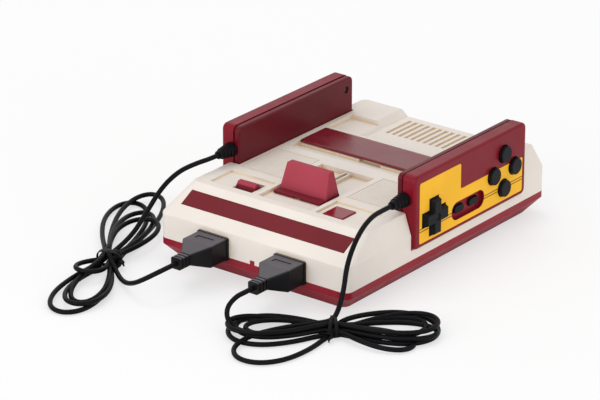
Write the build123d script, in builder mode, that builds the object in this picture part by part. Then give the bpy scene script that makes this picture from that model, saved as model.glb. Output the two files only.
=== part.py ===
from build123d import *

import math
import os

# A free-standing cartridge game console with two wired controllers docked in its sides, in millimetres.
# X runs to the right, Y from the front to the rear and Z up. The origin is on the table, under the middle.
# A place along the case's depth is counted from its front wall, and is turned into Y with front + place.

os.makedirs("parts", exist_ok=True)

# Case
console_width = 150.0
console_depth = 216.5
corner_radius = 5.0
wall = 2.2
foot_height = 1.4
foot_radius = 6.0
foot_inset_x = 22.0
foot_inset_y = 36.0
bevel_inset = 8.6
bevel_height = 10.2
band_height = 4.5
wall_height = 17.0
slope_height = 14.4
front_slope_run = 26.75
side_slope_run = 4.9
rear_slope_run = 5.0
fold_radius = 1.6
deck_radius = 1.0
tab_width = 3.4
tab_height = 2.6
gap = 0.3

# Case screws and the posts that take them
post_radius = 3.8
post_front = 18.0
post_rear_inset = 14.0
screw_radius = 1.4
screw_head_radius = 2.8
screw_head_height = 1.8
screw_seat = 7.0
screw_grip = 10.0

# Front label
label_width = 129.6
label_low_share = 0.34
label_high_share = 0.77
label_depth = 0.3
label_thickness = 0.4

# Controller shells
controller_length = 123.0
controller_height = 49.8
controller_thickness = 14.3
controller_corner = 4.0
controller_overhang = 2.3
controller_wall = 1.6
face_wall = 2.4
back_thickness = 4.9
back_inset = 0.3
seam_width = 1.3
seam_depth = 0.7
face_round = 1.8
back_round = 1.2
shell_post_inset_x = 7.5
shell_post_inset_y = 8.6
shell_post_radius = 3.0
small_screw_radius = 1.0
small_head_radius = 2.1
small_head_height = 1.4
small_seat = 2.4
small_grip = 3.6

# Controller face, measured from the middle of the face
plate_left = 56.5
plate_right = 58.0
plate_low = 22.2
plate_high = 19.3
plate_notch_x = -11.5
plate_notch_y = 1.8
plate_depth = 0.4
plate_thickness = 0.35
plate_round = 1.6
dpad_x = -40.7
dpad_y = -7.2
dpad_span = 24.0
dpad_arm = 8.6
dpad_rise = 3.4
dpad_draft = 16.0
dpad_clearance = 0.9
dpad_flange_radius = 10.2
dpad_drop = 1.5
dpad_tilt = 5.0
dpad_press = 6.3
dpad_dome_radius = 2.4
dimple_radius = 2.6
dimple_depth = 0.6
button_x = 36.2
button_y = -1.4
button_spread = 11.8
button_radius = 5.6
button_rise = 2.7
button_clearance = 0.6
button_flange = 1.0
button_travel = 1.2
pill_x = -3.2
pill_y = -12.4
pill_length = 36.4
pill_width = 12.4
pill_depth = 2.8
pill_floor = 1.2
key_spread = 8.0
key_length = 10.5
key_width = 5.2
key_rise = 1.8
flange_thickness = 0.8
board_thickness = 1.2
board_length = 99.0
board_low = 21.0
board_high = 15.0
board_lift = 1.8
board_post_radius = 2.0
board_post_inset = 4.0
mat_thickness = 0.6
mat_margin = 2.0
dome_radius = 3.2
pivot_radius = 3.0
pivot_height = 1.0
pivot_gap = 0.4

# Strain relief where a controller's cord leaves its shell
relief_y = 8.8
relief_depth = 6.3
relief_base_radius = 4.6
relief_tip_radius = 2.7
relief_length = 14.0
relief_root = 2.4
ring_count = 4
ring_width = 1.5
ring_depth = 0.5
cord_diameter = 3.2

# Side bays for the controllers
bay_front = 66.0
bay_clearance = 0.5
bay_floor_z = 22.8

# Deck pockets for the two switches and the eject lever
pocket_front = 33.0
pocket_rear = 56.0
pocket_inner = 24.3
pocket_outer = 60.3
pocket_depth = 1.4
eject_half = 21.0
eject_rear = 100.0
eject_depth = 2.2
track_depth = 3.6
switch_x = 36.3
switch_y = 42.4
switch_size = 15.7

# Eject lever, its slot, its spring and its push on the lifter
lever_half = 18.5
lever_top_half = 16.7
lever_front = 52.0
lever_rear = 66.0
lever_top_front = 57.3
lever_top_rear = 62.7
lever_height = 16.2
lever_round = 0.7
plate_half = 18.5
plate_front = 45.7
plate_rear = 66.0
lever_plate = 1.8
lever_travel = 18.0
lift_travel = 8.0
slot_half = 1.3
slot_rim = 1.2
slot_rim_height = 0.9
stem_length = 10.0
arm_half = 3.0
arm_height = 4.0
tip_height = 2.0
tab_half = 4.0
spring_radius = 2.4
spring_wire = 0.45
spring_turns = 8
spring_drop = 5.3
seat_half = 3.2

# Power switch and reset button
knob_width = 15.1
knob_length = 9.0
knob_top_width = 14.5
knob_top_length = 3.0
knob_rise = 3.2
knob_plate = 1.7
knob_travel = 3.0
cover_margin = 1.4
reset_rise = 1.0
reset_travel = 1.5
reset_flange = 1.0
reset_stem_radius = 2.0
reset_stem_drop = 2.6
switch_board_half = 55.0
switch_board_front = 32.0
switch_board_rear = 53.0
switch_board_drop = 11.5
switch_body = 9.0
switch_post_radius = 2.4
switch_post_inner = 22.3
switch_post_outer = 52.0
switch_post_inset = 3.0

# Cartridge slot, its flap and the flap's hinge
slot_half_width = 55.0
slot_front = 128.5
slot_rear = 147.0
flap_half = 57.0
flap_front = 124.0
flap_thickness = 1.9
flap_proud = 0.6
flap_clearance = 0.4
hinge_y = 150.6
hinge_radius = 1.9
hinge_clearance = 0.6
pin_radius = 0.9
pin_clearance = 0.05
pin_seat = 2.4
ramp_run = 11.5
ramp_drop = 3.4
notch_half = 8.7
notch_run = 3.0
well_drop = 24.0

# Rib panels beside the lever
panel_inner = 27.5
panel_outer = 58.0
panel_front = 66.0
rib_count = 16
rib_pitch = 2.4
rib_width = 0.5
rib_depth = 0.2
panel_margin = 1.2
panel_line = 0.5
panel_line_depth = 0.4

# Rear deck: the vent trough, the raised corner blocks and the dips in front of them
trough_half = 34.4
trough_top_half = 38.4
trough_drop = 5.2
block_depth = 33.5
dip_outer = 58.5
dip_drop = 3.1
vent_count = 12
vent_pitch = 5.0
vent_width = 2.9
vent_depth = 1.2
vent_rear_inset = 9.0
vent_length = 27.5

# Main board, what stands on it, and the sockets
main_board_half = 46.0
main_board_inset = 7.0
main_board_rear_inset = 14.0
main_board_thickness = 1.6
main_board_lift = 4.4
standoff_radius = 3.0
standoff_x = 40.0
standoff_inset = 8.0
chip_places = [((-28, -4), (60, 84)), ((8, 30), (62, 82)), ((-10, 22), (100, 114))]
chip_height = 2.4
can_places = [(-34, 104), (-24, 104), (34, 104)]
can_radius = 4.0
can_height = 11.0
connector_half = 42.0
connector_thickness = 10.0
connector_top = 26.0
card_half = 38.0
card_gap = 2.0
card_depth = 10.0
lifter_thickness = 2.5
lifter_clearance = 0.5
port_x = 30.6
port_z = 21.8
port_width = 17.6
port_height = 9.6
port_depth = 7.0
port_wall = 1.2
port_body_depth = 10.0
port_foot_depth = 5.0
contact_pitch = 2.6
contact_radius = 0.5
contact_length = 5.0
contact_hole_radius = 0.75
socket_x = 24.0
socket_z = 22.0
socket_width = 15.0
socket_height = 5.6
socket_wall = 1.0
socket_depth = 10.0
socket_body_depth = 13.0

# Cord plugs
plug_width = 23.4
plug_height = 14.9
plug_hood = 16.5
plug_taper = 11.0
plug_neck = 8.0
plug_neck_length = 10.0
plug_round = 1.4
plug_lip = 1.6
plug_lip_rise = 0.5
plug_nose_engaged = 5.5
plug_mark_width = 13.0
plug_mark_length = 4.0
plug_mark_depth = 0.5
groove_count = 3
groove_width = 1.0
groove_depth = 0.6

# Tied hanks of cord on the table
hank_height = 7.0
hank_round = 2.0
hank_waist = 20.0
waist_length = 18.0
lobe_overlap = 5.0
tie_width = 2.4
tie_thickness = 1.2
hank_lobes = {
    "left": ((-96, -25), ((-145, 72), 18), ((-66, -103), 18)),
    "right": ((82, -24), ((34, -74), 27), ((134, 13), 23)),
}

# Cord routes: X, the place along the depth and the height of each corner that the cord is laid around
bend_share = 0.45
straight_run = 7.6
left_controller_corners = [
    (-73.6, 36.0, 55.2),
    (-79.6, 25.0, 51.6),
    (-84.8, 13.6, 42.4),
    (-89.6, 3.6, 26.6),
    (-93.4, -7.6, 10.8),
    (-97.2, -17.5, 4.6),
]
right_controller_corners = [
    (70.4, 32.0, 57.2),
    (72.6, 18.5, 54.6),
    (75.2, 5.6, 48.0),
    (76.8, -3.8, 37.0),
    (77.7, -7.6, 23.4),
    (78.0, -12.4, 11.0),
    (80.2, -20.5, 4.6),
]
left_plug_corners = [
    (-32.8, -53.2, 20.4),
    (-39.6, -57.0, 15.8),
    (-49.2, -56.0, 9.8),
    (-60.2, -50.8, 4.8),
    (-71.0, -43.6, 2.6),
    (-79.6, -36.0, 2.6),
    (-86.6, -28.6, 3.6),
]
right_plug_corners = [
    (29.2, -53.4, 21.0),
    (27.4, -60.0, 16.4),
    (28.6, -61.4, 9.0),
    (34.4, -59.8, 4.2),
    (42.5, -57.4, 3.4),
]

# Levels and places worked out from the sizes above
front = -console_depth / 2
rear = console_depth / 2
side = console_width / 2
base_z = foot_height
band_z = base_z + bevel_height
split_z = band_z + band_height
fold_z = split_z + wall_height
deck_z = fold_z + slope_height
deck_depth = console_depth - front_slope_run - rear_slope_run
deck_width = console_width - 2 * side_slope_run
deck_mid = (front_slope_run - rear_slope_run) / 2

controller_outer = side + controller_overhang
controller_inner = controller_outer - controller_thickness
bay_inner = controller_inner - bay_clearance
bay_rear = bay_front + controller_length + 2 * bay_clearance
controller_mid_y = front + bay_front + bay_clearance + controller_length / 2
controller_mid_z = bay_floor_z + controller_height / 2

post_x = bay_inner - wall - post_radius - gap
post_places = [(x, y) for x in (-post_x, post_x) for y in (front + post_front, rear - post_rear_inset)]
screw_seat_z = base_z + screw_seat

board_z = base_z + wall + main_board_lift
board_top = board_z + main_board_thickness
board_front = front + main_board_inset
board_rear = rear - main_board_rear_inset
standoff_places = [
    (x, y)
    for x in (-standoff_x, standoff_x)
    for y in (board_front + standoff_inset, board_rear - standoff_inset)
]

pocket_floor = deck_z - pocket_depth
pocket_under = pocket_floor - wall
eject_floor = deck_z - eject_depth
eject_under = eject_floor - wall
track_floor = deck_z - track_depth
track_under = track_floor - wall
switch_board_z = deck_z - switch_board_drop
switch_post_places = [
    (x, front + y)
    for x in (-switch_post_outer, -switch_post_inner, switch_post_inner, switch_post_outer)
    for y in (switch_board_front + switch_post_inset, switch_board_rear - switch_post_inset)
]

flap_top = deck_z + flap_proud
flap_under = flap_top - flap_thickness
hinge_z = flap_top - hinge_radius
hinge_rear = hinge_y + hinge_radius + hinge_clearance
seat_front = flap_front - flap_clearance
scoop_z = deck_z - ramp_drop
trough_front = hinge_rear + wall
trough_z = deck_z - trough_drop
dip_z = deck_z - dip_drop
well_foot = deck_z - well_drop

lever_mid = (lever_front + lever_rear) / 2
stem_front = lever_mid - stem_length / 2
stem_rear = lever_mid + stem_length / 2
lifter_z = well_foot + lifter_clearance
push_edge = slot_front - wall - lever_travel - tab_half
push_rate = lift_travel / lever_travel
ramp_foot_y = push_edge + tip_height
ramp_foot_z = lifter_z - gap - tip_height * push_rate
ramp_head_y = push_edge - lever_travel - gap
ramp_head_z = lifter_z - gap + (lever_travel + gap) * push_rate
spring_z = track_under - spring_drop / 2 - gap
spring_front = stem_rear + gap
spring_rear = eject_rear - wall - gap
on_end = (Align.CENTER, Align.CENTER, Align.MIN)


def block(x, y, z, mode=Mode.ADD):
    """A box between the low and the high value on each axis."""
    with Locations(((x[0] + x[1]) / 2, (y[0] + y[1]) / 2, (z[0] + z[1]) / 2)):
        Box(x[1] - x[0], y[1] - y[0], z[1] - z[0], mode=mode)


def both_sides(low, high):
    """The same stretch of X on the left and on the right."""
    return ((-high, -low), (low, high))


def posts(places, radius, low, high, mode=Mode.ADD):
    """Upright round posts, or holes, between two heights."""
    with Locations(*[(x, y, low) for x, y in places]):
        Cylinder(radius, high - low, align=on_end, mode=mode)


def rounded_plan(width, depth, radius, z, y=0):
    """A rounded rectangle lying at a height, moved along Y."""
    with BuildSketch(Plane.XY.offset(z)) as plan:
        with Locations((0, y)):
            RectangleRounded(width, depth, radius)
    return plan.sketch


def upper_form(inset, mode=Mode.ADD):
    """The upper case's form above the split, drawn in by inset on every side."""
    width = console_width - 2 * inset
    depth = console_depth - 2 * inset
    radius = corner_radius - inset
    fold = fold_z - 0.6 * inset
    extrude(rounded_plan(width, depth, radius, split_z), amount=fold - split_z, mode=mode)
    lower = rounded_plan(width, depth, radius, fold)
    deck = rounded_plan(deck_width - 1.5 * inset, deck_depth - inset, radius, deck_z - inset, deck_mid)
    loft([lower, deck], ruled=True, mode=mode)


def base_form(inset, mode=Mode.ADD):
    """The base tray's form below the split, drawn in by inset on every side."""
    width = console_width - 2 * inset
    depth = console_depth - 2 * inset
    radius = corner_radius - inset
    sole = rounded_plan(width - 2 * bevel_inset, depth - 2 * bevel_inset, radius, base_z + inset)
    band = rounded_plan(width, depth, radius, band_z)
    loft([sole, band], ruled=True, mode=mode)
    extrude(band, amount=split_z - band_z, mode=mode)


# Base tray, with posts for the case screws, standoffs for the board and a small tab at the front
with BuildPart() as base_shell:
    base_form(0)
    base_form(wall, Mode.SUBTRACT)
    posts(post_places, post_radius, base_z, split_z)
    posts(post_places, screw_radius + gap, base_z, split_z, Mode.SUBTRACT)
    posts(post_places, screw_head_radius + gap, base_z, screw_seat_z, Mode.SUBTRACT)
    posts(standoff_places, standoff_radius, base_z + wall / 2, board_z)
    posts(standoff_places, small_screw_radius, base_z + wall, board_z, Mode.SUBTRACT)
    block((-tab_width / 2, tab_width / 2), (front, front + wall), (split_z - wall, split_z + tab_height))
base_shell.part.label = "base_shell"
export_step(base_shell.part, "parts/base_shell.step")

# Soft feet under the base
foot_x = side - foot_inset_x
foot_places = [(x, y) for x in (-foot_x, foot_x) for y in (front + foot_inset_y, rear - foot_inset_y)]
with BuildPart() as rubber_feet:
    posts(foot_places, foot_radius, 0, foot_height)
    foot_rims = rubber_feet.edges().group_by(Axis.Z)[0]
    fillet(foot_rims, foot_height / 3)
rubber_feet.part.label = "rubber_feet"
export_step(rubber_feet.part, "parts/rubber_feet.step")

# Screws that hold the two halves of the case
with BuildPart() as case_screws:
    posts(post_places, screw_head_radius, screw_seat_z - screw_head_height, screw_seat_z)
    posts(post_places, screw_radius, screw_seat_z, split_z + screw_grip)
    with Locations(*[(x, y, screw_seat_z - screw_head_height) for x, y in post_places]):
        Box(screw_head_radius, screw_head_height / 3, screw_head_height, mode=Mode.SUBTRACT)
case_screws.part.label = "case_screws"
export_step(case_screws.part, "parts/case_screws.step")

# Outer form of the upper case, with soft folds
with BuildPart() as case_form:
    upper_form(0)
    fold_edges = case_form.edges().filter_by_position(Axis.Z, fold_z - 0.01, fold_z + 0.01)
    fillet(fold_edges, fold_radius)
    deck_edges = case_form.edges().filter_by_position(Axis.Z, deck_z - 0.01, deck_z + 0.01)
    fillet(deck_edges, deck_radius)

# What stands inside the upper case: bay walls, pans under the deck, the cartridge well and the posts
with BuildPart() as case_ribs:
    for x in both_sides(bay_inner - wall, side):
        block(x, (front + bay_front - wall, front + bay_rear + wall), (bay_floor_z - wall, deck_z))
    for x in both_sides(pocket_inner - wall, pocket_outer + wall):
        block(x, (front + pocket_front - wall, front + pocket_rear + wall), (pocket_under, deck_z))
    eject_span = (-eject_half - wall, eject_half + wall)
    block(eject_span, (front + pocket_front - wall, front + eject_rear + wall), (eject_under, deck_z))
    block(eject_span, (front + lever_rear - wall, front + eject_rear + wall), (track_under, deck_z))
    across = (-bay_inner, bay_inner)
    block(across, (front + seat_front - ramp_run, front + trough_front), (scoop_z - wall, deck_z))
    block(across, (front + hinge_rear, rear - rear_slope_run), (trough_z - wall, deck_z))
    well_span = (-slot_half_width - wall, slot_half_width + wall)
    block(well_span, (front + slot_front - wall, front + slot_rear + wall), (well_foot, deck_z))
    posts(post_places, post_radius, split_z, deck_z)
    posts(switch_post_places, switch_post_radius, switch_board_z, pocket_floor)
    lug_y = front + eject_rear - wall
    block((-seat_half, seat_half), (lug_y, lug_y + wall), (spring_z - seat_half, track_under))
    add(case_form.part, mode=Mode.INTERSECT)

# Upper case
slope_length = math.hypot(slope_height, front_slope_run)
label_middle = (label_low_share + label_high_share) / 2
label_plane = Plane(
    origin=(0, front + front_slope_run * label_middle, fold_z + slope_height * label_middle),
    x_dir=(1, 0, 0),
    z_dir=(0, -slope_height, front_slope_run),
)
label_height = slope_length * (label_high_share - label_low_share)
vent_y = rear - vent_rear_inset - vent_length / 2
with BuildPart() as top_shell:
    add(case_form.part)
    upper_form(wall, Mode.SUBTRACT)
    add(case_ribs.part)
    # Bays for the controllers, open to the sides and above
    for x in both_sides(bay_inner, side + controller_thickness):
        bay_top = deck_z + controller_height
        block(x, (front + bay_front, front + bay_rear), (bay_floor_z, bay_top), Mode.SUBTRACT)
    # Pockets for the switches, each with its square opening
    for x in both_sides(pocket_inner, pocket_outer):
        block(x, (front + pocket_front, front + pocket_rear), (pocket_floor, deck_z + wall), Mode.SUBTRACT)
    for x in both_sides(switch_x - switch_size / 2, switch_x + switch_size / 2):
        opening_y = (front + switch_y - switch_size / 2, front + switch_y + switch_size / 2)
        block(x, opening_y, (pocket_under - wall, deck_z), Mode.SUBTRACT)
    # Trench for the eject lever, deeper behind it, with a rim along the slot that its stem runs in
    trench_y = (front + pocket_front, front + eject_rear)
    block((-eject_half, eject_half), trench_y, (eject_floor, deck_z + wall), Mode.SUBTRACT)
    track_y = (front + lever_rear, front + eject_rear)
    block((-eject_half, eject_half), track_y, (track_floor, deck_z), Mode.SUBTRACT)
    rim_half = slot_half + slot_rim
    rim_y = (front + stem_front - slot_rim, front + eject_rear)
    block((-rim_half, rim_half), rim_y, (track_under, eject_floor + slot_rim_height))
    slot_y = (front + stem_front - gap, front + eject_rear - slot_rim)
    block((-slot_half, slot_half), slot_y, (track_under, deck_z), Mode.SUBTRACT)
    # Scoop in front of the flap, with a finger notch
    with BuildSketch(Plane.YZ.offset(-flap_half - flap_clearance)):
        with BuildLine():
            Polyline(
                (front + seat_front - ramp_run, deck_z),
                (front + seat_front, scoop_z),
                (front + seat_front, deck_z + wall),
                (front + seat_front - ramp_run, deck_z + wall),
                close=True,
            )
        make_face()
    extrude(amount=2 * (flap_half + flap_clearance), mode=Mode.SUBTRACT)
    notch_y = (front + seat_front - gap, front + seat_front + notch_run)
    block((-notch_half, notch_half), notch_y, (scoop_z, deck_z + wall), Mode.SUBTRACT)
    # Seat of the flap, the trough of its hinge and the slot under it
    seat_span = (-flap_half - flap_clearance, flap_half + flap_clearance)
    block(seat_span, (front + seat_front, front + hinge_rear), (flap_under - gap, deck_z + wall), Mode.SUBTRACT)
    hinge_trough = (front + hinge_y - hinge_radius - hinge_clearance, front + hinge_rear)
    trough_low = hinge_z - hinge_radius - flap_clearance
    block(seat_span, hinge_trough, (trough_low, deck_z + wall), Mode.SUBTRACT)
    with Locations(Location((0, front + hinge_y, hinge_z), (0, 90, 0))):
        Cylinder(pin_radius, 2 * (flap_half + flap_clearance + pin_seat), mode=Mode.SUBTRACT)
    slot_span = (-slot_half_width, slot_half_width)
    block(slot_span, (front + slot_front, front + slot_rear), (well_foot, deck_z + wall), Mode.SUBTRACT)
    tab_span = (-tab_half - lifter_clearance, tab_half + lifter_clearance)
    tab_top = lifter_z + lifter_thickness + lift_travel + lifter_clearance
    block(tab_span, (front + slot_front - 2 * wall, front + slot_front), (well_foot, tab_top), Mode.SUBTRACT)
    # Rear deck: dips, the sloped trough and its blind vent grooves
    for x in both_sides(trough_half, dip_outer):
        block(x, (front + trough_front, rear - block_depth), (dip_z, deck_z + wall), Mode.SUBTRACT)
    with BuildSketch(Plane.XZ.offset(-front - trough_front)):
        with BuildLine():
            Polyline(
                (-trough_half, trough_z),
                (trough_half, trough_z),
                (trough_top_half, deck_z),
                (trough_top_half, deck_z + wall),
                (-trough_top_half, deck_z + wall),
                (-trough_top_half, deck_z),
                close=True,
            )
        make_face()
    extrude(amount=-(rear - front - trough_front + wall), mode=Mode.SUBTRACT)
    with Locations((0, vent_y, trough_z)):
        with GridLocations(vent_pitch, 1, vent_count, 1):
            Box(vent_width, vent_length, 2 * vent_depth, mode=Mode.SUBTRACT)
    # Fine grooves across the deck on both sides of the lever, each panel in a thin frame
    panel_mid_y = front + panel_front + (rib_count - 1) * rib_pitch / 2
    with Locations((0, panel_mid_y, deck_z)):
        with GridLocations(panel_inner + panel_outer, rib_pitch, 2, rib_count):
            Box(panel_outer - panel_inner, rib_width, 2 * rib_depth, mode=Mode.SUBTRACT)
    panel_width = panel_outer - panel_inner + 2 * panel_margin
    panel_length = (rib_count - 1) * rib_pitch + 2 * panel_margin
    with BuildSketch(Plane.XY.offset(deck_z - panel_line_depth)):
        with Locations((0, panel_mid_y)):
            with GridLocations(panel_inner + panel_outer, 1, 2, 1):
                Rectangle(panel_width + 2 * panel_line, panel_length + 2 * panel_line)
                Rectangle(panel_width, panel_length, mode=Mode.SUBTRACT)
    extrude(amount=2 * panel_line_depth, mode=Mode.SUBTRACT)
    # Label bed on the front slope
    with BuildSketch(label_plane.offset(-label_depth)):
        Rectangle(label_width, label_height)
    extrude(amount=label_depth + wall, mode=Mode.SUBTRACT)
    # Openings for the controller ports, the rear sockets and the base's tab
    for x in (-port_x, port_x):
        mouth = (x - port_width / 2, x + port_width / 2)
        mouth_z = (port_z - port_height / 2, port_z + port_height / 2)
        block(mouth, (front - wall, front + 2 * wall), mouth_z, Mode.SUBTRACT)
    for x in (-socket_x, socket_x):
        mouth = (x - socket_width / 2 - gap, x + socket_width / 2 + gap)
        mouth_z = (socket_z - socket_height / 2 - gap, socket_z + socket_height / 2 + gap)
        block(mouth, (rear - 2 * wall, rear + wall), mouth_z, Mode.SUBTRACT)
    tab_half_width = tab_width / 2 + gap / 2
    notch_z = (split_z, split_z + tab_height + gap / 2)
    block((-tab_half_width, tab_half_width), (front - wall, front + 2 * wall), notch_z, Mode.SUBTRACT)
    # Pilot holes for the screws
    posts(post_places, screw_radius, split_z, split_z + screw_grip, Mode.SUBTRACT)
    screw_top = switch_board_z + small_grip
    posts(switch_post_places, small_screw_radius, switch_board_z, screw_top, Mode.SUBTRACT)
top_shell.part.label = "top_shell"
export_step(top_shell.part, "parts/top_shell.step")

# Label on the front slope
with BuildPart() as front_label:
    with BuildSketch(label_plane.offset(-label_depth)):
        Rectangle(label_width - gap, label_height - gap)
    extrude(amount=label_thickness)
front_label.part.label = "front_label"
export_step(front_label.part, "parts/front_label.step")

# Flap over the cartridge slot, with its hinge barrel along the rear edge
with BuildPart() as cartridge_flap:
    block((-flap_half, flap_half), (front + flap_front, front + hinge_y), (flap_under, flap_top))
    with Locations(Location((0, front + hinge_y, hinge_z), (0, 90, 0))):
        Cylinder(hinge_radius, 2 * flap_half)
        Cylinder(pin_radius + pin_clearance, 2 * flap_half, mode=Mode.SUBTRACT)
    flap_lip = cartridge_flap.edges().filter_by(Axis.X).group_by(Axis.Y)[0]
    fillet(flap_lip, flap_thickness / 3)
cartridge_flap.part.label = "cartridge_flap"
export_step(cartridge_flap.part, "parts/cartridge_flap.step")

# Pin that the flap turns on, seated in the case at both ends
with BuildPart() as flap_hinge_pin:
    with Locations(Location((0, front + hinge_y, hinge_z), (0, 90, 0))):
        Cylinder(pin_radius, 2 * (flap_half + flap_clearance + pin_seat))
flap_hinge_pin.part.label = "flap_hinge_pin"
export_step(flap_hinge_pin.part, "parts/flap_hinge_pin.step")

# Eject lever: grip, plate, stem through the slot, spring seat and the arm that pushes the lifter up
plate_z = eject_floor + gap
plate_top = plate_z + lever_plate
with BuildPart() as eject_lever:
    with BuildSketch(Plane.XY.offset(plate_top)):
        with Locations((0, front + lever_mid)):
            Rectangle(2 * lever_half, lever_rear - lever_front)
    with BuildSketch(Plane.XY.offset(plate_top + lever_height)):
        with Locations((0, front + (lever_top_front + lever_top_rear) / 2)):
            Rectangle(2 * lever_top_half, lever_top_rear - lever_top_front)
    loft(ruled=True)
    grip_edges = eject_lever.edges() - eject_lever.edges().group_by(Axis.Z)[0]
    fillet(grip_edges, lever_round)
    block((-plate_half, plate_half), (front + plate_front, front + plate_rear), (plate_z, plate_top))
    channel = slot_half + slot_rim + gap
    channel_y = (front + plate_front, front + plate_rear)
    channel_z = (plate_z, eject_floor + slot_rim_height + gap)
    block((-channel, channel), channel_y, channel_z, Mode.SUBTRACT)
    stem_y = (front + stem_front, front + stem_rear)
    stem_half = slot_half - gap
    block((-stem_half, stem_half), stem_y, (ramp_head_z - arm_height, plate_top))
    seat_y = (front + stem_rear - wall, front + stem_rear)
    block((-seat_half, seat_half), seat_y, (spring_z - seat_half, track_under - gap))
    with BuildSketch(Plane.YZ.offset(-arm_half)):
        with BuildLine():
            Polyline(
                (front + stem_front, ramp_head_z),
                (front + ramp_head_y, ramp_head_z),
                (front + ramp_foot_y, ramp_foot_z),
                (front + ramp_foot_y, ramp_foot_z - tip_height),
                (front + ramp_head_y, ramp_head_z - arm_height),
                (front + stem_front, ramp_head_z - arm_height),
                close=True,
            )
        make_face()
    extrude(amount=2 * arm_half)
eject_lever.part.label = "eject_lever"
export_step(eject_lever.part, "parts/eject_lever.step")

# Spring that returns the lever
spring_length = spring_rear - spring_front - 2 * spring_wire
with BuildPart() as eject_spring:
    coil_start = (0, front + spring_front + spring_wire, spring_z)
    with BuildLine() as coil:
        Helix(spring_length / spring_turns, spring_length, spring_radius - spring_wire, coil_start, (0, 1, 0))
    with BuildSketch(Plane(origin=coil.line @ 0, z_dir=coil.line % 0)):
        Circle(spring_wire)
    sweep(is_frenet=True)
eject_spring.part.label = "eject_spring"
export_step(eject_spring.part, "parts/eject_spring.step")

# Lifter frame around the cartridge connector, with the tab that the lever's arm pushes up
connector_mid = (slot_front + slot_rear) / 2
connector_y = (front + connector_mid - connector_thickness / 2, front + connector_mid + connector_thickness / 2)
with BuildPart() as ejector_lifter:
    lifter_half = slot_half_width - lifter_clearance
    lifter_y = (front + slot_front + lifter_clearance, front + slot_rear - lifter_clearance)
    lifter_level = (lifter_z, lifter_z + lifter_thickness)
    block((-lifter_half, lifter_half), lifter_y, lifter_level)
    window = connector_half + lifter_clearance
    window_y = (connector_y[0] - lifter_clearance, connector_y[1] + lifter_clearance)
    block((-window, window), window_y, lifter_level, Mode.SUBTRACT)
    block((-tab_half, tab_half), (front + push_edge, window_y[0]), lifter_level)
ejector_lifter.part.label = "ejector_lifter"
export_step(ejector_lifter.part, "parts/ejector_lifter.step")

# Power switch knob: a ridge that shows in its opening, on a plate that slides under the deck
cover_half = switch_size / 2 + cover_margin
cover_z = pocket_under - gap
with BuildPart() as power_knob:
    with BuildSketch(Plane.XY.offset(cover_z - knob_plate)):
        with Locations((-switch_x, front + switch_y)):
            Rectangle(2 * cover_half, 2 * (cover_half + knob_travel))
    extrude(amount=knob_plate)
    with BuildSketch(Plane.XY.offset(cover_z)):
        with Locations((-switch_x, front + switch_y)):
            Rectangle(knob_width, knob_length)
    with BuildSketch(Plane.XY.offset(pocket_floor + knob_rise)):
        with Locations((-switch_x, front + switch_y)):
            Rectangle(knob_top_width, knob_top_length)
    loft(ruled=True)
power_knob.part.label = "power_knob"
export_step(power_knob.part, "parts/power_knob.step")

# Reset button, with a flange under the deck and a stem that meets its switch
reset_low = cover_z - knob_plate
with BuildPart() as reset_button:
    cap = switch_size - 2 * gap
    with BuildSketch(Plane.XY.offset(reset_low)):
        with Locations((switch_x, front + switch_y)):
            RectangleRounded(cap, cap, gap)
    extrude(amount=pocket_floor + reset_rise - reset_low)
    fillet(reset_button.edges().group_by(Axis.Z)[-1], gap)
    with BuildSketch(Plane.XY.offset(reset_low)):
        with Locations((switch_x, front + switch_y)):
            Rectangle(switch_size + 2 * reset_flange, switch_size + 2 * reset_flange)
    extrude(amount=knob_plate)
    posts([(switch_x, front + switch_y)], reset_stem_radius, reset_low - reset_stem_drop, reset_low)
reset_button.part.label = "reset_button"
export_step(reset_button.part, "parts/reset_button.step")

# Small board under the deck that carries the two switches
board_low_z = switch_board_z - main_board_thickness
with BuildPart() as switch_board:
    board_span_y = (front + switch_board_front, front + switch_board_rear)
    block((-switch_board_half, switch_board_half), board_span_y, (board_low_z, switch_board_z))
    posts(switch_post_places, small_screw_radius, board_low_z, switch_board_z, Mode.SUBTRACT)
switch_board.part.label = "switch_board"
export_step(switch_board.part, "parts/switch_board.step")

# Slide switch under the power knob
with BuildPart() as power_switch:
    body_x = (-switch_x - switch_body / 2, -switch_x + switch_body / 2)
    body_y = (front + switch_y - switch_body / 2, front + switch_y + switch_body / 2)
    block(body_x, body_y, (switch_board_z, cover_z - knob_plate - gap))
power_switch.part.label = "power_switch"
export_step(power_switch.part, "parts/power_switch.step")

# Push switch under the reset button
plunger_top = reset_low - reset_stem_drop - reset_travel - gap / 2
with BuildPart() as reset_switch:
    body_x = (switch_x - switch_body / 2, switch_x + switch_body / 2)
    body_y = (front + switch_y - switch_body / 2, front + switch_y + switch_body / 2)
    block(body_x, body_y, (switch_board_z, plunger_top - gap))
    posts([(switch_x, front + switch_y)], reset_stem_radius, switch_board_z, plunger_top)
reset_switch.part.label = "reset_switch"
export_step(reset_switch.part, "parts/reset_switch.step")

# Main board in the base
with BuildPart() as main_board:
    block((-main_board_half, main_board_half), (board_front, board_rear), (board_z, board_top))
    posts(standoff_places, small_screw_radius, board_z, board_top, Mode.SUBTRACT)
main_board.part.label = "main_board"
export_step(main_board.part, "parts/main_board.step")

# Chips and capacitors on the main board
with BuildPart() as board_components:
    for x, y in chip_places:
        block(x, (front + y[0], front + y[1]), (board_top, board_top + chip_height))
    posts([(x, front + y) for x, y in can_places], can_radius, board_top, board_top + can_height)
board_components.part.label = "board_components"
export_step(board_components.part, "parts/board_components.step")

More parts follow.
